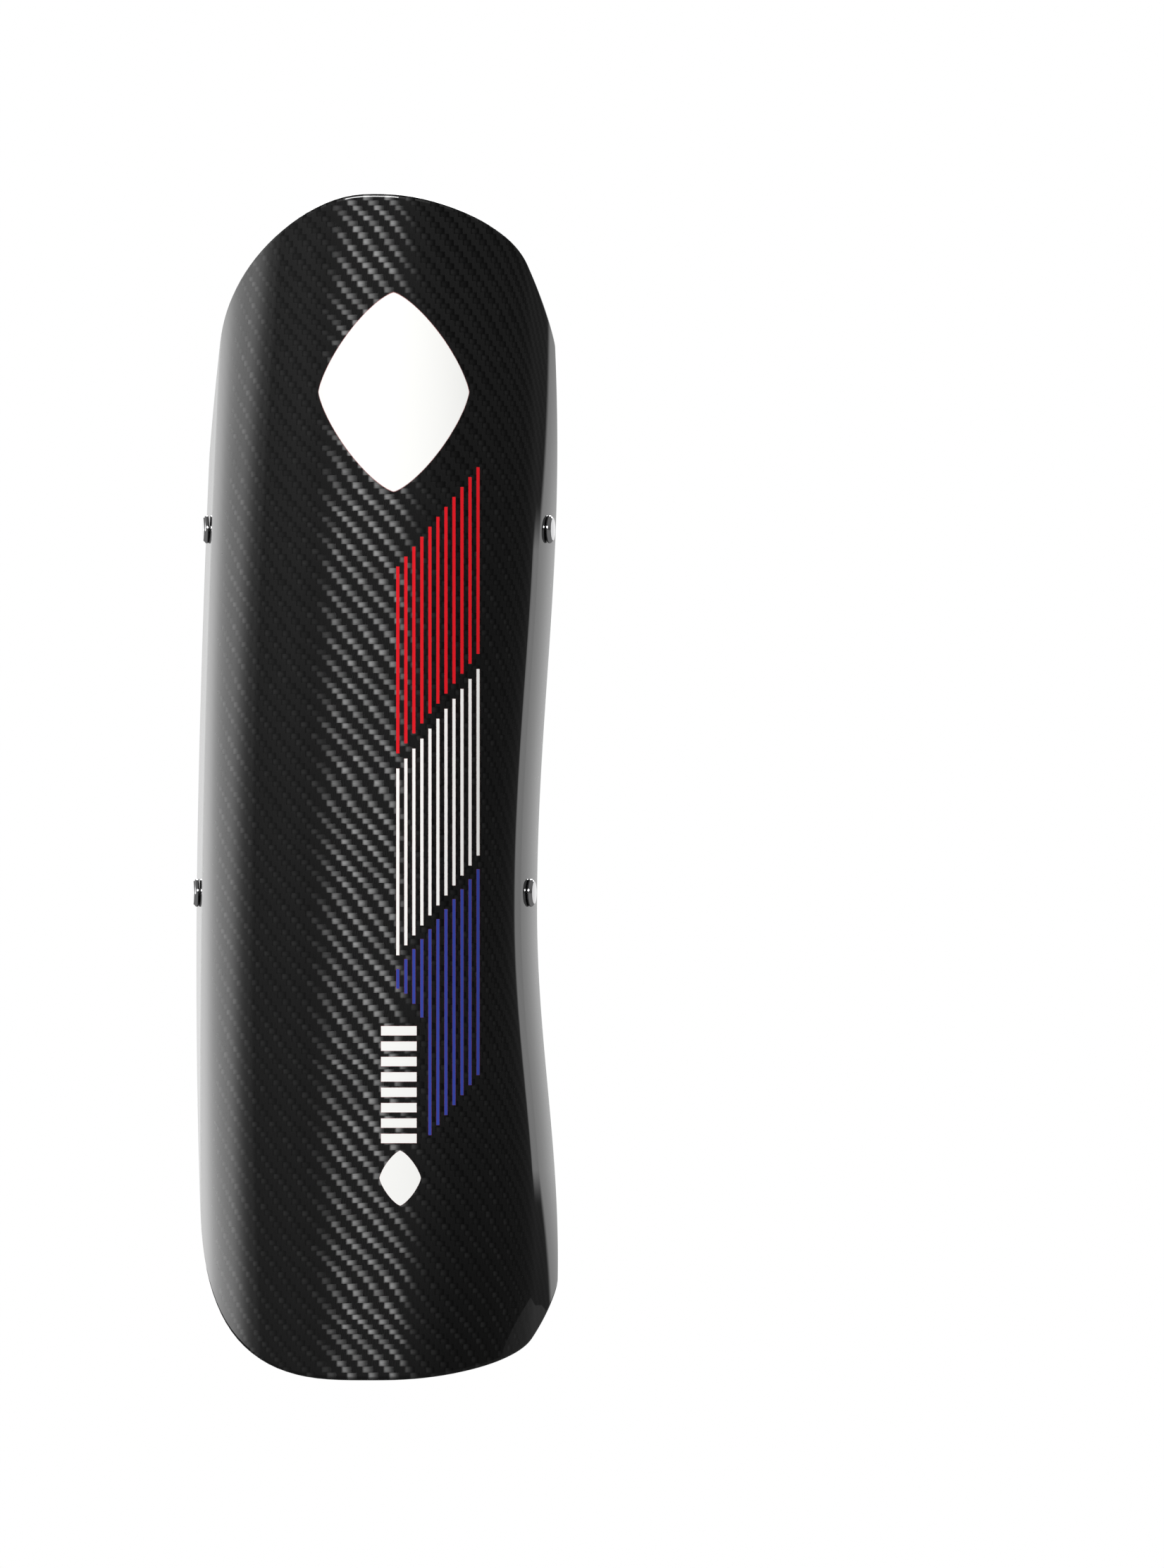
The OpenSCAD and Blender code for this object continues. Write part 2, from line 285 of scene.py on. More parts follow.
def lathe_piece(name, profile, place, steps=64):
    """A solid of revolution about the local Z axis. profile lists (radius, height) from axis to axis."""
    points, faces, uvs = [], [], []
    inner = profile[1:-1]
    points.append(place @ Vector((0, 0, profile[0][1])))
    uvs.append((0, 0))
    for r, h in inner:
        for k in range(steps):
            a = 2 * math.pi * k / steps
            points.append(place @ Vector((r * math.cos(a), r * math.sin(a), h)))
            uvs.append((r * math.cos(a), r * math.sin(a)))
    points.append(place @ Vector((0, 0, profile[-1][1])))
    uvs.append((0, 0))
    last = len(points) - 1
    for k in range(steps):
        k2 = (k + 1) % steps
        faces.append((0, 1 + k, 1 + k2))
        for i in range(len(inner) - 1):
            a, b = 1 + i * steps, 1 + (i + 1) * steps
            faces.append((a + k, b + k, b + k2, a + k2))
        faces.append((1 + (len(inner) - 1) * steps + k, last, 1 + (len(inner) - 1) * steps + k2))
    return make_piece(name, points, faces, uvs, sharp=50)


def stitch_piece(name, rows, radius=0.32, length=3.0, gap=1.1, lift=0.1):
    """Rows of lockstitch thread. Each row is a list of (point, outward normal) along the seam, in mm."""
    points, faces = [], []
    ring = 6
    for row in rows:
        line = [p for p, _ in row]
        run = arc_lengths(line)
        pitch = length + gap
        for s in range(int(run[-1] // pitch)):
            centre = []
            for f in (0.0, 0.18, 0.5, 0.82, 1.0):
                d = s * pitch + gap / 2 + f * length
                k = max(i for i in range(len(run)) if run[i] <= d)
                k = min(k, len(line) - 2)
                t = (d - run[k]) / max(run[k + 1] - run[k], 1e-9)
                p = line[k].lerp(line[k + 1], t)
                n = row[k][1].lerp(row[k + 1][1], t).normalized()
                sunk = -radius * 1.2 if f in (0.0, 1.0) else lift
                centre.append((p + n * sunk, n))
            along = (centre[-1][0] - centre[0][0]).normalized()
            base = len(points)
            for c, n in centre:
                side = along.cross(n).normalized()
                for k in range(ring):
                    a = 2 * math.pi * k / ring
                    points.append(c + (side * math.cos(a) + n * math.sin(a)) * radius)
            for i in range(len(centre) - 1):
                for k in range(ring):
                    k2 = (k + 1) % ring
                    a, b = base + i * ring, base + (i + 1) * ring
                    faces.append((a + k, a + k2, b + k2, b + k))
            faces.append(tuple(base + k for k in reversed(range(ring))))
            faces.append(tuple(base + (len(centre) - 1) * ring + k for k in range(ring)))
    return make_piece(name, points, faces)


# ---------------------------------------------------------------- node helpers
class Surface:
    """A material built node by node. Values may be sockets, numbers or colours."""

    def __init__(self, name, **sockets):
        self.material = bpy.data.materials.new(name)
        self.material.use_nodes = True
        self.tree = self.material.node_tree
        self.shader = self.tree.nodes["Principled BSDF"]
        for key, value in sockets.items():
            self.set(key.replace("_", " "), value)

    def put(self, socket, value):
        if isinstance(value, bpy.types.NodeSocket):
            self.tree.links.new(value, socket)
        elif isinstance(value, tuple) and len(value) == 3 and socket.type == "RGBA":
            socket.default_value = (*value, 1)
        else:
            socket.default_value = value

    def set(self, key, value):
        self.put(self.shader.inputs[key], value)

    def node(self, kind, *values, **props):
        n = self.tree.nodes.new(kind)
        for key, value in props.items():
            setattr(n, key, value)
        for socket, value in zip(n.inputs, values):
            if value is not None:
                self.put(socket, value)
        return n.outputs[0]

    def calc(self, operation, *values):
        return self.node("ShaderNodeMath", *values, operation=operation)

    def add(self, a, b):
        return self.calc("ADD", a, b)

    def sub(self, a, b):
        return self.calc("SUBTRACT", a, b)

    def mul(self, a, b):
        return self.calc("MULTIPLY", a, b)

    def div(self, a, b):
        return self.calc("DIVIDE", a, b)

    def power(self, a, b):
        return self.calc("POWER", a, b)

    def floor(self, a):
        return self.calc("FLOOR", a)

    def fract(self, a):
        return self.calc("FRACT", a)

    def clamp(self, value, low=0.0, high=1.0):
        return self.node("ShaderNodeClamp", value, low, high)

    def ramp(self, value, low, high, to_low=0.0, to_high=1.0):
        """A smooth step from low to high."""
        return self.node("ShaderNodeMapRange", value, low, high, to_low, to_high,
                         interpolation_type="SMOOTHSTEP")

    def mix(self, factor, a, b):
        n = self.tree.nodes.new("ShaderNodeMix")
        n.data_type = "RGBA"
        for socket, value in ((n.inputs[0], factor), (n.inputs[6], a), (n.inputs[7], b)):
            self.put(socket, value)
        return n.outputs[2]

    def blend(self, factor, a, b):
        """A number from a to b."""
        return self.add(a, self.mul(factor, self.sub(b, a)))

    def sway(self, value, noise, amount):
        """The value, moved up and down by a noise."""
        return self.add(value, self.mul(self.sub(noise, 0.5), amount))

    def grey(self, shade, blue=1.0):
        """A grey colour, with its blue a little stronger if asked."""
        return self.vector(shade, shade, shade if blue == 1.0 else self.mul(shade, blue))

    def uv(self):
        n = self.tree.nodes.new("ShaderNodeUVMap")
        n.uv_map = "weave"
        split = self.tree.nodes.new("ShaderNodeSeparateXYZ")
        self.tree.links.new(n.outputs[0], split.inputs[0])
        return split.outputs[0], split.outputs[1]

    def place(self):
        n = self.tree.nodes.new("ShaderNodeTexCoord")
        split = self.tree.nodes.new("ShaderNodeSeparateXYZ")
        self.tree.links.new(n.outputs["Object"], split.inputs[0])
        return n.outputs["Object"], split.outputs[0], split.outputs[1], split.outputs[2]

    def vector(self, x, y, z=0.0):
        return self.node("ShaderNodeCombineXYZ", x, y, z)

    def noise(self, vector, scale, detail=3.0, roughness=0.55):
        n = self.tree.nodes.new("ShaderNodeTexNoise")
        self.tree.links.new(vector, n.inputs["Vector"])
        n.inputs["Scale"].default_value = scale
        n.inputs["Detail"].default_value = detail
        n.inputs["Roughness"].default_value = roughness
        return n.outputs["Fac"]

    def fibre_tangent(self, weft):
        """Fibres spread a highlight across themselves: up the guard for the weft, round it for the warp."""
        around = self.tree.nodes.new("ShaderNodeTangent")
        around.direction_type, around.uv_map = "UV_MAP", "weave"
        geometry = self.tree.nodes.new("ShaderNodeNewGeometry")
        up = self.tree.nodes.new("ShaderNodeVectorMath")
        up.operation = "CROSS_PRODUCT"
        self.tree.links.new(geometry.outputs["Normal"], up.inputs[0])
        self.tree.links.new(around.outputs[0], up.inputs[1])
        self.set("Tangent", self.mix(weft, around.outputs[0], up.outputs[0]))

    def lean(self, tilt):
        """Leans the clear coat's normal towards +Y by tilt."""
        geometry = self.tree.nodes.new("ShaderNodeNewGeometry")
        push = self.vector(0.0, tilt)
        added = self.node("ShaderNodeVectorMath", geometry.outputs["Normal"], push, operation="ADD")
        unit = self.node("ShaderNodeVectorMath", added, operation="NORMALIZE")
        self.set("Coat Normal", unit)
        return unit

    def bump(self, height, strength, distance, base=None):
        n = self.tree.nodes.new("ShaderNodeBump")
        n.inputs["Strength"].default_value = strength
        n.inputs["Distance"].default_value = distance
        self.tree.links.new(height, n.inputs["Height"])
        if base:
            self.tree.links.new(base, n.inputs["Normal"])
        self.tree.links.new(n.outputs[0], self.shader.inputs["Normal"])


def bow(s, x, power=None):
    """1 in the middle of 0..1 and 0 at both ends, as the top of a round thread. A low power flattens it."""
    round_top = s.calc("SINE", s.mul(x, math.pi))
    return s.power(round_top, power) if power else round_top


def band(s, value, low, high, soft):
    """1 where value lies between low and high, with edges soft wide."""
    up = s.ramp(value, s.sub(low, soft), s.add(low, soft))
    down = s.ramp(value, s.sub(high, soft), s.add(high, soft))
    return s.sub(up, down)


# ---------------------------------------------------------------- carbon twill
TOW_U, TOW_V = 1.8 * MM, 1.95 * MM


def twill(s):
    """The 2/2 twill: (weft mask, height of the tows, streaks of single fibres, painted highlight of the weft
    floats).
    """
    u, v = s.uv()
    # Hand-laid cloth wavers a little, and its weft tows bunch and spread
    drift, wander = s.noise(s.vector(u, v), 22.0, 2.0), s.noise(s.vector(u, v), 160.0, 1.0)
    u = s.sway(s.sway(u, drift, 1.6 * MM), wander, 0.6 * MM)
    v = s.sway(v, wander, 0.4 * MM)
    bunch = s.noise(s.vector(s.mul(u, 0.3), v), 38.0, 1.0)
    v = s.sway(v, bunch, 6.0 * MM)
    a, b = s.div(u, TOW_U), s.div(v, TOW_V)
    i, j = s.floor(a), s.floor(b)
    # Where a point lies along its float: each float is 2 tows long in a repeat of 4
    along_weft = s.calc("FLOORED_MODULO", s.add(a, j), 4.0)
    along_warp = s.sub(s.calc("FLOORED_MODULO", s.add(b, i), 4.0), 2.0)
    weft = s.calc("LESS_THAN", along_weft, 2.0)
    weft_top = s.mul(bow(s, s.clamp(s.div(along_weft, 2.0)), 0.45), bow(s, s.fract(b), 0.5))
    warp_top = s.mul(bow(s, s.clamp(s.div(along_warp, 2.0)), 0.45), bow(s, s.fract(a), 0.5))
    height = s.blend(weft, warp_top, weft_top)
    streak_weft = s.noise(s.vector(s.mul(u, 0.06), v), 6500.0, 1.0)
    streak_warp = s.noise(s.vector(u, s.mul(v, 0.06)), 6500.0, 1.0)
    # A float's painted highlight is brightest near its start, over the crown of the tow, and each float has
    # its own strength
    repeat = s.floor(s.div(s.add(a, j), 4.0))
    own = s.node("ShaderNodeTexWhiteNoise", s.vector(repeat, j), noise_dimensions="2D")
    painted_sheen = s.mul(s.ramp(along_weft, 0.0, 0.45), s.ramp(along_weft, 0.5, 1.9, 1.0, 0.0))
    painted_sheen = s.mul(s.mul(painted_sheen, bow(s, s.fract(b), 0.4)), s.blend(own, 0.5, 1.2))
    return weft, height, s.blend(weft, streak_warp, streak_weft), painted_sheen


# ---------------------------------------------------------------- printed graphics, in metres
RED, WHITE, BLUE = (0.70, 0.010, 0.018), (0.92, 0.92, 0.90), (0.035, 0.06, 0.34)
LINE_X, LINE_PITCH, LINE_W, LINE_COUNT, LINE_STEP = 0.0084, 0.00271, 0.0011, 11, 0.00337
# Each block of lines: the top of its first line, the lines' length, the colour
STRIPES = ((0.0745, 0.0632, RED), (0.0062, 0.0632, WHITE), (-0.0616, 0.0697, BLUE))
# The curve on which the first blue lines stop
CURVE_Z, CURVE_LINES, CURVE_POWER, CURVE_DROP = -0.0683, 4, 1.6, 0.00168
# Centre x and z, half-width and half-height
LOZENGES = ((0.0070, 0.1335, 0.0255, 0.0337), (0.0092, -0.1323, 0.0070, 0.0093))
BLOCKS_X, BLOCKS_Z, BLOCK_PITCH, BLOCK_GAP = (0.0027, 0.0148), (-0.1215, -0.0790), 0.0052, 0.38
FRONT_Y, INK_SOFT = -0.018, 0.00008


def striped(s, x, z):
    """Three blocks of upright lines, each a step higher than the one before: (ink mask, ink colour)."""
    k = s.div(s.sub(x, LINE_X - LINE_PITCH / 2), LINE_PITCH)
    row = s.floor(k)
    across = s.calc("ABSOLUTE", s.sub(s.fract(k), 0.5))
    edge = LINE_W / LINE_PITCH / 2
    line = s.sub(1.0, s.ramp(across, edge - 0.03, edge + 0.03))
    inside = s.mul(s.calc("GREATER_THAN", row, -0.5), s.calc("LESS_THAN", row, LINE_COUNT - 0.5))
    line = s.mul(line, inside)
    # The first blue lines stop short, above the blocks, on a curve
    stop = s.sub(CURVE_Z, s.mul(s.power(s.clamp(row, 0.0, CURVE_LINES - 1.0), CURVE_POWER), CURVE_DROP))
    stop = s.sub(stop, s.calc("GREATER_THAN", row, CURVE_LINES - 0.5))
    ink, colour = None, None
    for top, length, tint in STRIPES:
        high = s.add(top, s.mul(row, LINE_STEP))
        low = s.sub(high, length)
        if tint is BLUE:
            low = s.calc("MAXIMUM", low, stop)
        part = s.mul(line, band(s, z, low, high, INK_SOFT))
        ink = part if ink is None else s.calc("MAXIMUM", ink, part)
        colour = tint if colour is None else s.mix(part, colour, tint)
    return ink, colour


def graphics(s):
    """The print on the front face: (ink mask, ink colour)."""
    _, x, y, z = s.place()
    ink, colour = striped(s, x, z)
    # A plain lozenge near the knee end, and a small one under a column of blocks near the ankle end
    plain = []
    for mid_x, mid_z, half_x, half_z in LOZENGES:
        dx = s.div(s.calc("ABSOLUTE", s.sub(x, mid_x)), half_x)
        dz = s.div(s.calc("ABSOLUTE", s.sub(z, mid_z)), half_z)
        reach = s.add(s.power(dx, 1.35), s.power(dz, 1.35))
        plain.append(s.sub(1.0, s.ramp(reach, 0.99, 1.01)))
    w = s.fract(s.div(s.sub(z, BLOCKS_Z[0]), BLOCK_PITCH))
    column = s.mul(band(s, z, *BLOCKS_Z, 0.00005), band(s, x, *BLOCKS_X, INK_SOFT))
    plain.append(s.mul(band(s, w, BLOCK_GAP / 2, 1 - BLOCK_GAP / 2, 0.02), column))
    for part in plain:
        ink = s.calc("MAXIMUM", ink, part)
        colour = s.mix(part, colour, WHITE)
    return s.mul(ink, s.calc("LESS_THAN", y, FRONT_Y)), colour


# ---------------------------------------------------------------- materials
WALL_ROLL = 4.0                     # radians per metre, over the last of the medial wall
ROLL_LENGTH = 0.034
ROUND_TOP, ROUND_LOW = 0.08, -0.13  # heights beyond which the medial wall stays rounder


def carbon_outside():
    s = Surface("carbon_clear_coat", Roughness=0.5, Coat_Weight=1.0, Coat_Roughness=0.02, Coat_IOR=1.5,
                Specular_IOR_Level=0.1, Specular_Tint=(0.0, 0.0, 0.0), Anisotropic=0.85)
    weft, height, streak, painted_sheen = twill(s)
    s.fibre_tangent(weft)
    ink, tint = graphics(s)
    # The weft floats carry a painted highlight in the base colour, over the dull dark level of the whole
    # cloth
    bright = s.mul(s.mul(painted_sheen, 0.092), s.blend(streak, 0.5, 1.45))
    dull = s.mul(s.blend(streak, 0.6, 1.4), 0.0145)
    s.set("Base Color", s.mix(ink, s.grey(s.add(bright, dull)), tint))
    s.set("Metallic", s.sub(1.0, ink))
    s.set("Roughness", s.blend(ink, s.blend(weft, 0.5, 0.36), 0.8))
    # The coat on the flared medial wall rolls in a little towards the rim, and stays rounder at both ends
    _, x, y, z = s.place()
    rolled = s.mul(s.clamp(y, 0.0, ROLL_LENGTH), WALL_ROLL)
    ends = s.add(s.clamp(s.sub(z, ROUND_TOP)), s.mul(s.clamp(s.sub(ROUND_LOW, z)), 1.4))
    opened = s.mul(s.add(ends, 0.05), s.ramp(y, -0.035, -0.012))
    leaned = s.lean(s.mul(s.sub(rolled, opened), s.calc("GREATER_THAN", x, 0.0)))
    s.bump(s.blend(ink, height, 0.8), 0.12, 0.0001, base=leaned)
    return s.material


def carbon_inside():
    s = Surface("carbon_bare", Roughness=0.5, Specular_IOR_Level=0.5)
    weft, height, streak, _ = twill(s)
    # The weft is painted lighter than the warp: a painted reflection, as both tows are the same fibre
    shade = s.mul(s.blend(weft, 0.012, 0.05), s.blend(streak, 0.6, 1.3))
    s.set("Base Color", s.grey(shade, 1.05))
    s.set("Roughness", s.blend(streak, 0.35, 0.6))
    s.bump(height, 0.5, 0.0002)
    return s.material


def carbon_rim():
    s = Surface("carbon_cut_edge", Roughness=0.35, Coat_Weight=0.6, Coat_Roughness=0.08)
    vector, _, _, _ = s.place()
    grain = s.noise(vector, 900.0, 3.0)
    shade = s.blend(grain, 0.008, 0.03)
    s.set("Base Color", s.grey(shade))
    s.set("Roughness", s.blend(grain, 0.25, 0.5))
    s.bump(grain, 0.15, 0.0002)
    return s.material


def chrome():
    s = Surface("chrome", Metallic=1.0, Base_Color=(0.86, 0.86, 0.87), Roughness=0.06)
    vector, _, _, _ = s.place()
    wear = s.noise(vector, 420.0, 4.0)
    s.set("Roughness", s.blend(s.power(wear, 3.0), 0.03, 0.22))
    return s.material


def plated_steel():
    s = Surface("plated_steel", Metallic=1.0, Base_Color=(0.55, 0.55, 0.56))
    vector, _, _, _ = s.place()
    grain = s.noise(vector, 1500.0, 3.0)
    s.set("Roughness", s.blend(grain, 0.28, 0.5))
    s.bump(grain, 0.1, 0.0001)
    return s.material


def nylon():
    s = Surface("nylon")
    vector, _, _, _ = s.place()
    grain = s.noise(vector, 1800.0, 3.0)
    s.set("Base Color", s.mix(grain, (0.018, 0.018, 0.018), (0.032, 0.032, 0.033)))
    s.set("Roughness", s.blend(grain, 0.45, 0.65))
    s.bump(grain, 0.2, 0.0001)
    return s.material


def eva_foam():
    s = Surface("eva_foam", Specular_IOR_Level=0.3)
    vector, _, _, _ = s.place()
    cells = s.tree.nodes.new("ShaderNodeTexVoronoi")
    cells.inputs["Scale"].default_value = 1300.0
    s.tree.links.new(vector, cells.inputs["Vector"])
    tone = s.noise(vector, 60.0, 3.0)
    # The cell pits, low in the bump, are painted darker and the cell walls lighter: painted shade
    shade = s.mul(s.blend(tone, 0.035, 0.055), s.blend(cells.outputs["Distance"], 0.7, 1.3))
    s.set("Base Color", s.grey(shade, 1.08))
    s.set("Roughness", s.blend(tone, 0.75, 0.92))
    s.bump(cells.outputs["Distance"], 0.45, 0.0003)
    return s.material


def knit_lining():
    """Spacer mesh: a brushed knit of small V stitches, with air holes in a diamond grid."""
    s = Surface("knit_lining", Roughness=0.85, Sheen_Weight=0.2, Sheen_Roughness=0.5)
    u, v = s.uv()
    wale, course = 0.0008, 0.00065
    leg = s.calc("ABSOLUTE", s.sub(s.fract(s.div(u, wale)), 0.5))
    b = s.div(s.add(v, s.mul(leg, wale)), course)
    loop = s.mul(bow(s, s.fract(b)), s.blend(leg, 0.55, 1.3))
    hole_u, hole_v = 0.0034, 0.0046
    row = s.div(v, hole_v / 2)
    shift = s.mul(s.calc("FLOORED_MODULO", s.floor(row), 2.0), 0.5)
    dx = s.sub(s.fract(s.add(s.div(u, hole_u), shift)), 0.5)
    dz = s.mul(s.sub(s.fract(row), 0.5), hole_v / 2 / hole_u)
    far = s.calc("SQRT", s.add(s.mul(dx, dx), s.mul(dz, dz)))
    solid = s.ramp(far, 0.13, 0.27)
    fuzz = s.noise(s.vector(u, v), 2600.0, 4.0)
    tone = s.noise(s.vector(u, v), 35.0, 3.0)
    # Each stitch loop is painted lighter on its top, and the air holes, low in the bump, are painted almost
    # black: painted shade
    shade = s.mul(s.blend(tone, 0.04, 0.065), s.blend(loop, 0.6, 1.2))
    shade = s.mul(s.mul(shade, s.blend(fuzz, 0.75, 1.25)), s.blend(solid, 0.12, 1.0))
    s.set("Base Color", s.grey(shade, 1.06))
    s.bump(s.add(s.mul(solid, 2.0), s.add(loop, s.mul(fuzz, 0.5))), 0.6, 0.0003)
    return s.material


def elastic_webbing():
    """Woven elastic: ribs along the strap crossed by tight weft, with a lighter rib near each selvedge."""
    s = Surface("elastic_webbing", Roughness=0.8, Sheen_Weight=0.15, Sheen_Roughness=0.45)
    u, v = s.uv()
    rib, pick = 0.0016, 0.0009
    a, b = s.div(v, rib), s.div(u, pick)
    odd = s.calc("FLOORED_MODULO", s.floor(a), 2.0)
    b = s.add(b, s.mul(odd, 0.5))
    height = s.mul(bow(s, s.fract(a), 0.6), s.blend(bow(s, s.fract(b)), 0.45, 1.0))
    fuzz = s.noise(s.vector(s.mul(u, 0.3), v), 4200.0, 3.0)
    edge = s.ramp(s.calc("ABSOLUTE", v), 0.0172, 0.0176)
    # The ribs are painted lighter on their crowns and darker between them, following the bump: painted shade
    shade = s.mul(s.blend(edge, 0.022, 0.035), s.blend(height, 0.4, 1.3))
    shade = s.mul(shade, s.blend(fuzz, 0.7, 1.3))
    s.set("Base Color", s.grey(shade, 1.05))
    s.bump(s.add(height, s.mul(fuzz, 0.25)), 0.7, 0.0004)
    return s.material


def tape(name, low, high, scale, tuft_depth):
    """Hook tape or loop pile: a close field of small tufts."""
    s = Surface(name, Roughness=0.9, Sheen_Weight=0.2, Sheen_Roughness=0.6)
    u, v = s.uv()
    tufts = s.tree.nodes.new("ShaderNodeTexVoronoi")
    tufts.inputs["Scale"].default_value = scale
    s.tree.links.new(s.vector(u, v), tufts.inputs["Vector"])
    fuzz = s.noise(s.vector(u, v), scale * 2.4, 4.0)
    rise = s.sub(1.0, tufts.outputs["Distance"])
    # The tufts are painted lighter on top and darker between them, following the bump: painted shade
    shade = s.mul(s.blend(rise, low, high), s.blend(fuzz, 0.6, 1.4))
    s.set("Base Color", s.grey(shade))
    s.bump(s.add(rise, s.mul(fuzz, 0.7)), 0.8, tuft_depth)
    return s.material


def grip_rubber():
    s = Surface("grip_rubber", Specular_IOR_Level=0.4)
    vector, _, _, _ = s.place()
    grain = s.noise(vector, 2200.0, 3.0)
    s.set("Base Color", s.mix(grain, (0.36, 0.012, 0.018), (0.47, 0.02, 0.026)))
    s.set("Roughness", s.blend(grain, 0.45, 0.62))
    s.bump(grain, 0.25, 0.0002)
    return s.material


def thread():
    s = Surface("thread", Roughness=0.7, Sheen_Weight=0.3)
    vector, _, _, _ = s.place()
    ply = s.noise(vector, 3000.0, 2.0)
    s.set("Base Color", s.mix(ply, (0.05, 0.05, 0.052), (0.12, 0.12, 0.125)))
    s.bump(ply, 0.4, 0.0001)
    return s.material


OUTSIDE, INSIDE, RIM = carbon_outside(), carbon_inside(), carbon_rim()
CHROME, STEEL, NYLON, FOAM = chrome(), plated_steel(), nylon(), eva_foam()
LINING, WEBBING, GRIP, THREAD = knit_lining(), elastic_webbing(), grip_rubber(), thread()
HOOKS, PILE = tape("hook_tape", 0.01, 0.03, 900.0, 0.0004), tape("loop_pile", 0.02, 0.05, 700.0, 0.0005)


# ---------------------------------------------------------------- shell
shell = slab_piece("carbon_shell_looks", -CORNER_GIRTH, CORNER_GIRTH, -HALF_H, HALF_H, 0.0,
                   lambda g, z, e: 0.0, lambda g, z, e: SHELL_T, 96, 110, 6, 0.55)
give(shell, OUTSIDE, INSIDE, RIM)
stand_for(shell, "shell", "carbon", "carbon_shell")

# ---------------------------------------------------------------- liner
LINER_LATERAL, LINER_MEDIAL, LINER_INSET = -82.0, 80.0, 8.0
FOAM_D, FOAM_T, CLOTH_T = SHELL_T + 1.3, 7.0, 0.9
PAD_SPLIT, PAD_GAP = 47.0, 6.0
PADS = {
    "upper": (PAD_SPLIT + PAD_GAP / 2, HALF_H),
    "middle": (-PAD_SPLIT + PAD_GAP / 2, PAD_SPLIT - PAD_GAP / 2),
    "lower": (-HALF_H, -PAD_SPLIT - PAD_GAP / 2),
}


PAD_ROUND, BONE_W, CHANNEL_G, CHANNEL_W = 9.0, 9.0, 42.0, 2.2
FAR = 99.0


def pad_rise(g, z, e):
    """Height of a pad's face above its seat: crowned, rounded at its edges, hollowed over the shin bone."""
    edge = min(max(e, 0.0), PAD_ROUND) / PAD_ROUND
    crown = 0.55 + 0.45 * math.sqrt(1 - (1 - edge) ** 2)
    bone = 1 - 0.3 * math.exp(-((g / BONE_W) ** 2))
    channel = 1 - 0.22 * sum(math.exp(-(((g - c) / CHANNEL_W) ** 2)) for c in (-CHANNEL_G, CHANNEL_G))
    return FOAM_T * crown * bone * channel


for level, (z0, z1) in PADS.items():
    pad = slab_piece(f"foam_pad_{level}_looks", LINER_LATERAL, LINER_MEDIAL, z0, z1, LINER_INSET,
                     lambda g, z, e: FOAM_D + 0.05,
                     lambda g, z, e: FOAM_D + max(pad_rise(g, z, e), 1.0), 48, 26, 5, 0.8, edged=True)
    give(pad, FOAM, FOAM, FOAM)
    stand_for(pad, "shell", "foam", f"foam_pad_{level}")


def cloth_depth(g, z):
    """The lining lies on the pads and dips between them."""
    e = FAR
    for z0, z1 in PADS.values():
        if z0 - 3.1 <= z <= z1 + 3.1:
            e = min(z - z0 if z0 > -HALF_H else FAR, z1 - z if z1 < HALF_H else FAR)
    edge_z = min(top_z(g) - LINER_INSET - z, z - low_z(g) - LINER_INSET)
    edge_g = min(g - LINER_LATERAL, LINER_MEDIAL - g)
    e = min(e, edge_z, edge_g)
    dip = 0.9 * math.exp(-((min(e, 20.0) / 3.0) ** 2))
    return FOAM_D + max(pad_rise(g, z, e) - dip, 2.4) + 0.25


def lining_face(g, z):
    return cloth_depth(g, z) + CLOTH_T


lining = slab_piece("lining_looks", LINER_LATERAL - 1, LINER_MEDIAL + 1, -HALF_H, HALF_H, LINER_INSET - 1.5,
                    lambda g, z, e: cloth_depth(g, z), lambda g, z, e: lining_face(g, z), 64, 120, 4, 0.2)
give(lining, LINING, LINING, LINING)
stand_for(lining, "shell", "lining", "liner_cloth")


def seam(g_of, z_of, steps):
    """Places and inward normals along a seam on the lining, for a parameter running from 0 to 1."""
    out = []
    for k in range(steps + 1):
        g, z = g_of(k / steps), z_of(k / steps)
        out.append((below(g, z, lining_face(g, z)), -normal_at(g, z)))
    return out


SEAM_IN = 4.0
SEAM_LEFT, SEAM_RIGHT = LINER_LATERAL + SEAM_IN, LINER_MEDIAL - SEAM_IN
SEAM_EDGE = LINER_INSET + SEAM_IN - 1.5


def across_liner(t):
    return SEAM_LEFT + (SEAM_RIGHT - SEAM_LEFT) * t


seams = [seam(across_liner, lambda t: top_z(across_liner(t)) - SEAM_EDGE, 120),
         seam(across_liner, lambda t: low_z(across_liner(t)) + SEAM_EDGE, 120)]
for g in (SEAM_LEFT, SEAM_RIGHT):
    low, high = low_z(g) + SEAM_EDGE, top_z(g) - SEAM_EDGE
    seams.append(seam(lambda t: g, lambda t: low + (high - low) * t, 90))
for z in (PAD_SPLIT, -PAD_SPLIT):
    seams.append(seam(across_liner, lambda t: z, 90))
stitches = stitch_piece("lining_stitches", seams)
give(stitches, THREAD)
stand_for(stitches, "shell", "lining")

# ---------------------------------------------------------------- rivets
LEVELS = {"upper": 87.5, "lower": -36.0}
SIDES = {"lateral": -1, "medial": 1}
RIVET_GIRTH = CORNER_GIRTH - 13.0
CAP_R, CAP_H, SHANK_R, SEAT_GAP = 4.75, 1.85, 1.9, 0.25
STRAP_T, STRAP_W = 1.8, 40.0
SPACER_T, SLACK = 1.5, 0.35
TAB_T = STRAP_T - 0.2
TAB_D = SHELL_T + SEAT_GAP + SPACER_T + SLACK
BACK_D = TAB_D + TAB_T + SLACK
CUP_D, CUP_T = BACK_D + 0.65, 1.5


def rivet_place(side, z):
    """The frame of a rivet: local Z points out along it."""
    turn = -SPLAY[1] if side > 0 else math.pi + SPLAY[-1]
    spin = Matrix.Rotation(turn, 4, "Z") @ Matrix.Rotation(math.pi / 2, 4, "Y")
    return Matrix.Translation(outer_at(side * RIVET_GIRTH, z)) @ spin


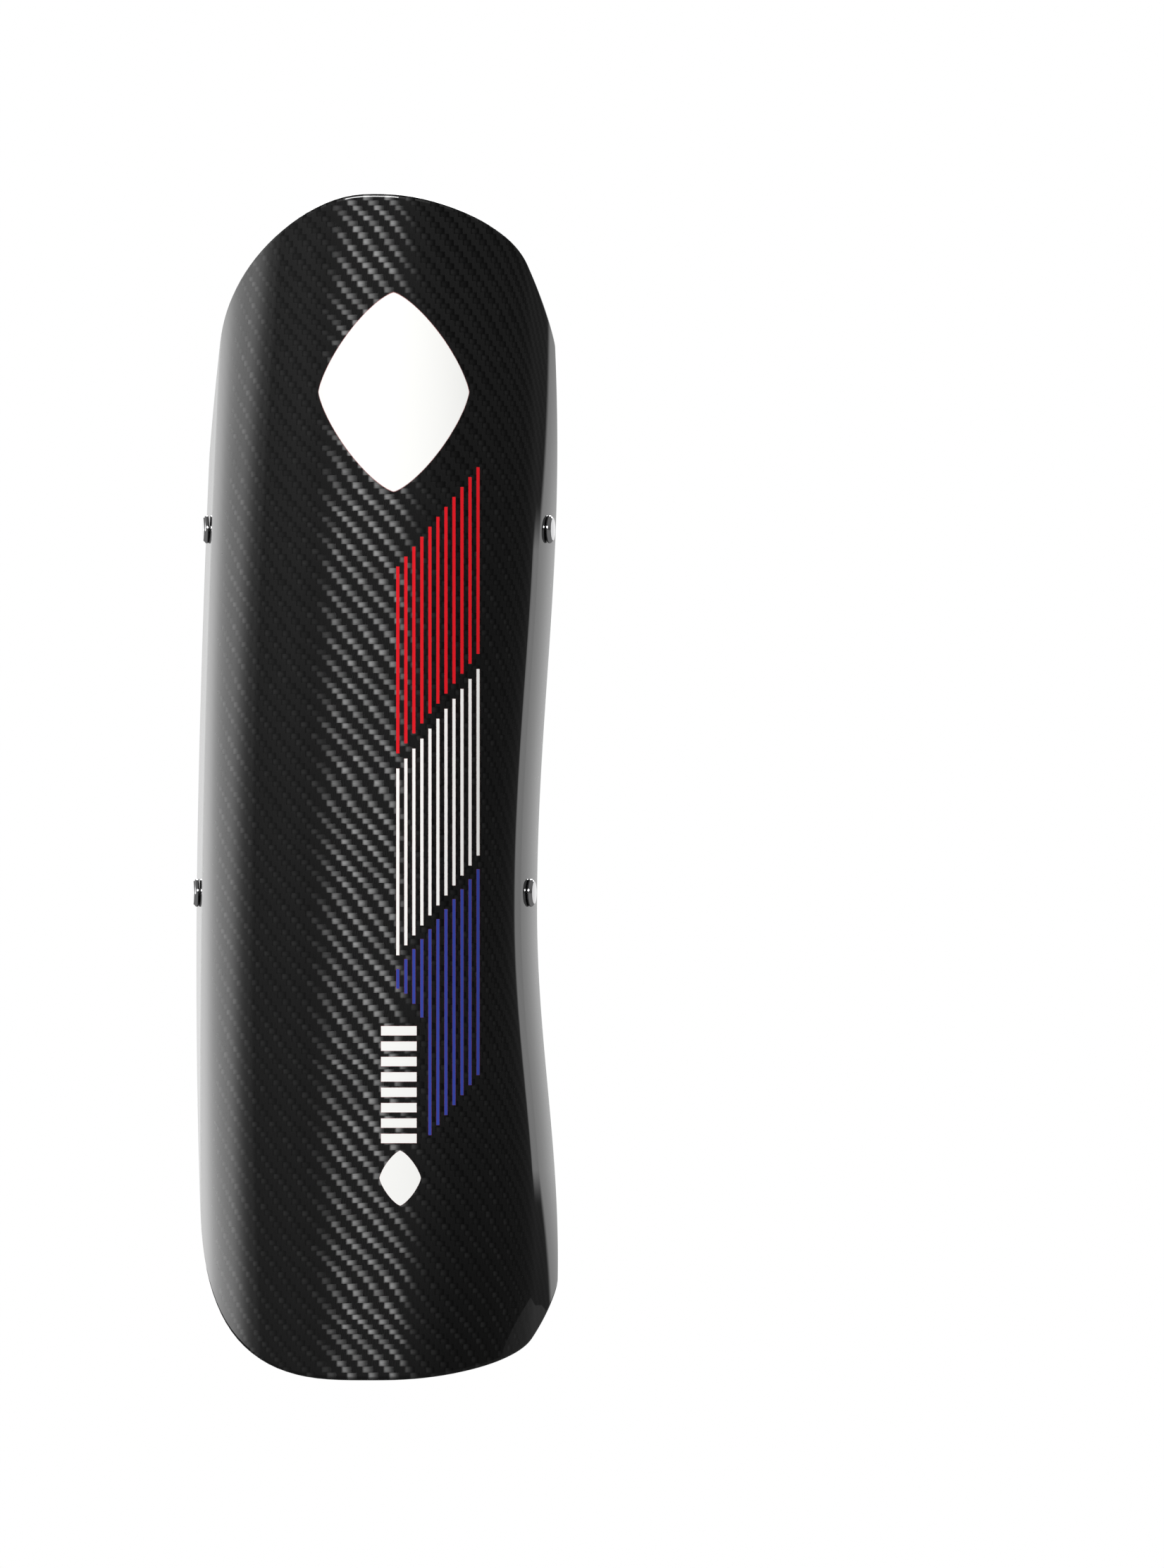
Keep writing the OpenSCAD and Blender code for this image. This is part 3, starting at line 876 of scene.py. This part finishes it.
def rounded(corners, radius, steps=5):
    """A profile with every inner corner rounded to the radius."""
    out = [corners[0]]
    for a, b, c in zip(corners, corners[1:], corners[2:]):
        a, b, c = Vector(a), Vector(b), Vector(c)
        r = min(radius, (a - b).length * 0.45, (c - b).length * 0.45)
        p, q = b + (a - b).normalized() * r, b + (c - b).normalized() * r
        for k in range(steps + 1):
            t = k / steps
            out.append(tuple(p * (1 - t) ** 2 + b * 2 * t * (1 - t) + q * t * t))
    out.append(corners[-1])
    return out


# Profiles of the cap outside, with a shoulder below its flat top, and of the cup inside
cap = [(0, SEAT_GAP - 0.15), (CAP_R - 0.25, SEAT_GAP - 0.15), (CAP_R, SEAT_GAP + 0.15),
       (CAP_R, CAP_H - 0.95), (CAP_R - 0.3, CAP_H - 0.55), (CAP_R - 0.6, CAP_H - 0.4), (CAP_R - 0.85, CAP_H),
       (0, CAP_H)]
cup = [(0, -CUP_D - CUP_T), (CAP_R - 1.3, -CUP_D - CUP_T), (CAP_R - 0.5, -CUP_D - CUP_T + 0.7),
       (CAP_R - 0.3, -CUP_D), (SHANK_R + 0.2, -CUP_D), (0, -CUP_D)]
for level, z in LEVELS.items():
    for name, side in SIDES.items():
        head = lathe_piece(f"rivet_{level}_{name}_looks", rounded(cap, 0.18), rivet_place(side, z))
        give(head, CHROME)
        stand_for(head, "shell", "chrome", f"rivet_{level}_{name}")
        back = lathe_piece(f"rivet_back_{level}_{name}_looks", rounded(cup, 0.3), rivet_place(side, z))
        give(back, CHROME)
        stand_for(back, "shell", "chrome", f"rivet_back_{level}_{name}")

# ---------------------------------------------------------------- straps
HINGE_Y, LOOP_DEPTH = 31.4, 42.0
TAPE_T, TAPE_GAP = 1.05, 0.4
LAP = STRAP_T + 2 * TAPE_T + TAPE_GAP
OUTER_END, INNER_END = 50.0, 108.0              # angles round the closed loop where the two halves end
PATCH_W, PATCH_T, GRIP_W, GRIP_T = STRAP_W - 4, 0.95, STRAP_W - 8, 2.4


def hinge_x(side, z):
    """Where the webbing bends, as in part.scad."""
    p, s, d = outer_at(side * RIVET_GIRTH, z), SPLAY[side], TAB_D + TAB_T / 2
    reach = (HINGE_Y - p.y - d * math.sin(s)) / math.cos(s)
    return p.x + side * (reach * math.sin(s) - d * math.cos(s))


def loop_line(z, a0, a1, offset, steps):
    """Plan of the closed loop from angle a0 to a1, moved out by offset."""
    low, high = hinge_x(-1, z), hinge_x(1, z) + LAP
    half, middle = (high - low) / 2, (high + low) / 2
    line = []
    for k in range(steps + 1):
        a = math.radians(a0 + (a1 - a0) * k / steps)
        n = Vector((math.cos(a) / half, math.sin(a) / LOOP_DEPTH)).normalized()
        x, y = middle + half * math.cos(a), HINGE_Y + LOOP_DEPTH * math.sin(a)
        line.append((x + offset * n.x, y + offset * n.y))
    return line


def anchor_line(side, z):
    """Plan of the riveted end, from ahead of the rivet back to the bend."""
    s, hx = SPLAY[side], hinge_x(side, z)
    ahead = (26.5, 24, 20, 16, 12, 8, 5, 3, 1.5, 0.5)
    return [(hx - side * r * math.sin(s), HINGE_Y - r * math.cos(s)) for r in ahead]


def strap_stitches(name, z, angles, offset, body):
    """A rectangle of stitches round a patch, on the strap's outer face."""
    rows = []
    half = PATCH_W / 2 - 2.0
    for dz in (-half, half):
        rows.append(with_normals(loop_line(z, *angles, offset, 40), z + dz))
    for a in angles:
        place, n = with_normals(loop_line(z, a - 1, a + 1, offset, 2), z)[1]
        rows.append([(place + Vector((0, 0, half * (k / 6 - 1))), n) for k in range(13)])
    piece = stitch_piece(name, rows, radius=0.28, length=2.6, gap=0.9)
    give(piece, THREAD)
    stand_for(piece, body, "webbing")


def with_normals(line, z):
    """Each point of a plan line, raised to height z, with its outward normal."""
    out = []
    for i, (x, y) in enumerate(line):
        a, b = Vector(line[max(0, i - 1)]), Vector(line[min(len(line) - 1, i + 1)])
        d = (b - a).normalized()
        out.append((Vector((x, y, z)), Vector((d.y, -d.x, 0))))
    return out


for level, z in LEVELS.items():
    anchors, outer_body, inner_body = f"{level}_anchors", f"{level}_outer_strap", f"{level}_inner_strap"
    for side, body, half in ((-1, outer_body, "outer"), (1, inner_body, "inner")):
        if half == "outer":
            loop = loop_line(z, 180, OUTER_END, 0, 90)
        else:
            loop = loop_line(z, 0, INNER_END, -LAP, 76)
        line = anchor_line(side, z) + loop
        strap = ribbon_piece(f"strap_{level}_{half}_looks", line, STRAP_W, TAB_T, z)
        give(strap, WEBBING)
        anchor = f"strap_anchor_{level}_{'lateral' if side < 0 else 'medial'}"
        stand_for(strap, None, "webbing", f"strap_{level}_{half}", anchor)
        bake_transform(strap)
    line = loop_line(z, 88, OUTER_END + 2, -STRAP_T / 2 - 0.5, 30)
    hook = ribbon_piece(f"hook_patch_{level}_looks", line, PATCH_W, PATCH_T, z)
    give(hook, HOOKS)
    stand_for(hook, outer_body, "hook_tape", f"hook_patch_{level}")
    line = loop_line(z, 42, INNER_END - 2, -LAP + STRAP_T / 2 + 0.45, 50)
    pile = ribbon_piece(f"loop_patch_{level}_looks", line, PATCH_W, PATCH_T, z)
    give(pile, PILE)
    stand_for(pile, inner_body, "loop_tape", f"loop_patch_{level}")
    strap_stitches(f"stitches_outer_{level}", z, (86, OUTER_END + 4), TAB_T / 2, outer_body)
    line = loop_line(z, OUTER_END + 0.4, OUTER_END - 11, 0, 12)
    grip = ribbon_piece(f"grip_tab_{level}_looks", line, GRIP_W, GRIP_T, z)
    give(grip, GRIP)
    stand_for(grip, outer_body, "grip", f"grip_tab_{level}")

for node, material in (("spacer_washers", NYLON), ("back_washers", STEEL), ("liner_hook_patches", HOOKS)):
    for material_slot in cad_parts[node].material_slots:
        material_slot.material = material

# ---------------------------------------------------------------- floor, light and camera
SCALE = 0.2386 * MM                     # metres per pixel of the 1652 x 2225 image at the guard
IMAGE_H, LENS, SENSOR = 2225, 900.0, 36.0
CAMERA_X, CAMERA_Z, EXACT_Y = 0.0707, 0.00095, -0.035   # SCALE holds in the plane y = EXACT_Y
distance = LENS / SENSOR * IMAGE_H * SCALE - EXACT_Y
camera = bpy.data.objects.new("camera", bpy.data.cameras.new("camera"))
bpy.context.scene.collection.objects.link(camera)
camera.data.lens, camera.data.sensor_width = LENS, SENSOR
camera.location = (CAMERA_X, -distance, CAMERA_Z)
camera.rotation_euler = (math.pi / 2, 0, 0)
bpy.context.scene.camera = camera


def make_floor():
    """A floor that is white to the camera and dim to the object, so the coat stays dark low down."""
    size, z = 8.0, -0.5
    mesh = bpy.data.meshes.new("floor")
    corners = [(-size, -size, z), (size, -size, z), (size, size, z), (-size, size, z)]
    mesh.from_pydata(corners, [], [(0, 1, 2, 3)])
    floor = bpy.data.objects.new("floor", mesh)
    bpy.context.scene.collection.objects.link(floor)
    material = bpy.data.materials.new("pale_floor")
    material.use_nodes = True
    tree = material.node_tree
    tree.nodes.clear()
    seen, lit = (tree.nodes.new("ShaderNodeEmission") for _ in range(2))
    seen.inputs["Strength"].default_value, lit.inputs["Strength"].default_value = 1.0, FLOOR_LIGHT
    path, both = tree.nodes.new("ShaderNodeLightPath"), tree.nodes.new("ShaderNodeMixShader")
    tree.links.new(path.outputs["Is Camera Ray"], both.inputs[0])
    tree.links.new(lit.outputs[0], both.inputs[1])
    tree.links.new(seen.outputs[0], both.inputs[2])
    out = tree.nodes.new("ShaderNodeOutputMaterial")
    tree.links.new(both.outputs[0], out.inputs["Surface"])
    mesh.materials.append(material)


def make_studio():
    """White all round for the camera; for the object, a dark room in front and bright panels at the sides and
    back, whose edges give the hard-edged highlights."""
    world = bpy.data.worlds.new("studio")
    bpy.context.scene.world = world
    world.use_nodes = True
    tree = world.node_tree
    tree.nodes.clear()

    def node(kind, *values, **props):
        n = tree.nodes.new(kind)
        for key, value in props.items():
            setattr(n, key, value)
        for socket, value in zip(n.inputs, values):
            if isinstance(value, bpy.types.NodeSocket):
                tree.links.new(value, socket)
            elif value is not None:
                socket.default_value = value
        return n.outputs[0]

    def calc(operation, *values):
        return node("ShaderNodeMath", *values, operation=operation)

    def step(value, low, high):
        return node("ShaderNodeMapRange", value, low, high, 0.0, 1.0, interpolation_type="SMOOTHSTEP")

    coordinates = tree.nodes.new("ShaderNodeTexCoord")
    split = tree.nodes.new("ShaderNodeSeparateXYZ")
    tree.links.new(coordinates.outputs["Generated"], split.inputs[0])
    x, y, z = split.outputs
    turn = calc("MULTIPLY", calc("ARCTAN2", x, calc("MULTIPLY", y, -1.0)), 180 / math.pi)

    def glow(angle, levels):
        """Brightness along the wall of a panel, from a list of (degrees from the camera, brightness)."""
        total = levels[0][1]
        for (low, before), (high, after) in zip(levels, levels[1:]):
            total = calc("ADD", total, calc("MULTIPLY", step(angle, low, high), after - before))
        return total

    # The left panel is brighter low down, and both panels fade out above and below the object's level
    brighter_low = calc("SUBTRACT", 1.45, calc("MULTIPLY", step(z, -0.03, 0.07), 0.75))
    left = calc("MULTIPLY", glow(calc("MULTIPLY", turn, -1.0), LEFT_PANEL), brighter_low)
    panels = calc("ADD", left, glow(turn, RIGHT_PANEL))
    fade = calc("SUBTRACT", 1.0, step(calc("ABSOLUTE", z), 0.1, 0.38))
    strength = calc("ADD", calc("MULTIPLY", panels, fade), ROOM_LIGHT)
    seen = node("ShaderNodeBackground", (1, 1, 1, 1), 1.0)
    lit = node("ShaderNodeBackground", (1, 1, 1, 1), strength)
    path = tree.nodes.new("ShaderNodeLightPath")
    both = node("ShaderNodeMixShader", path.outputs["Is Camera Ray"], lit, seen)
    out = tree.nodes.new("ShaderNodeOutputWorld")
    tree.links.new(both, out.inputs["Surface"])


def area_light(name, place, width, height, power):
    """A soft light aimed at the middle of the guard."""
    light = bpy.data.lights.new(name, "AREA")
    light.shape, light.size, light.size_y, light.energy = "RECTANGLE", width, height, power
    lamp = bpy.data.objects.new(name, light)
    bpy.context.scene.collection.objects.link(lamp)
    lamp.location = place
    lamp.rotation_euler = (-Vector(place)).to_track_quat("-Z", "Y").to_euler()


# Degrees round from the camera and the brightness there. A level below 0 takes light from the room's own
LEFT_PANEL = [(30.0, 0.0), (55.0, 0.08), (79.0, 0.08), (85.0, 0.3), (108.0, 1.8), (136.0, 1.8), (172.0, 0.65)]
RIGHT_PANEL = [(20.0, 0.0), (60.0, -0.055), (148.5, -0.055), (151.0, 0.6), (168.0, 0.98)]
ROOM_LIGHT, FLOOR_LIGHT = 0.12, 0.15
make_floor()
make_studio()
area_light("front_softbox", (-0.08, -1.55, 0.57), 1.4, 0.35, 30)
area_light("back_softbox", (0.1, 1.5, 1.0), 1.2, 0.8, 26)
bpy.context.scene.view_settings.view_transform = "Standard"
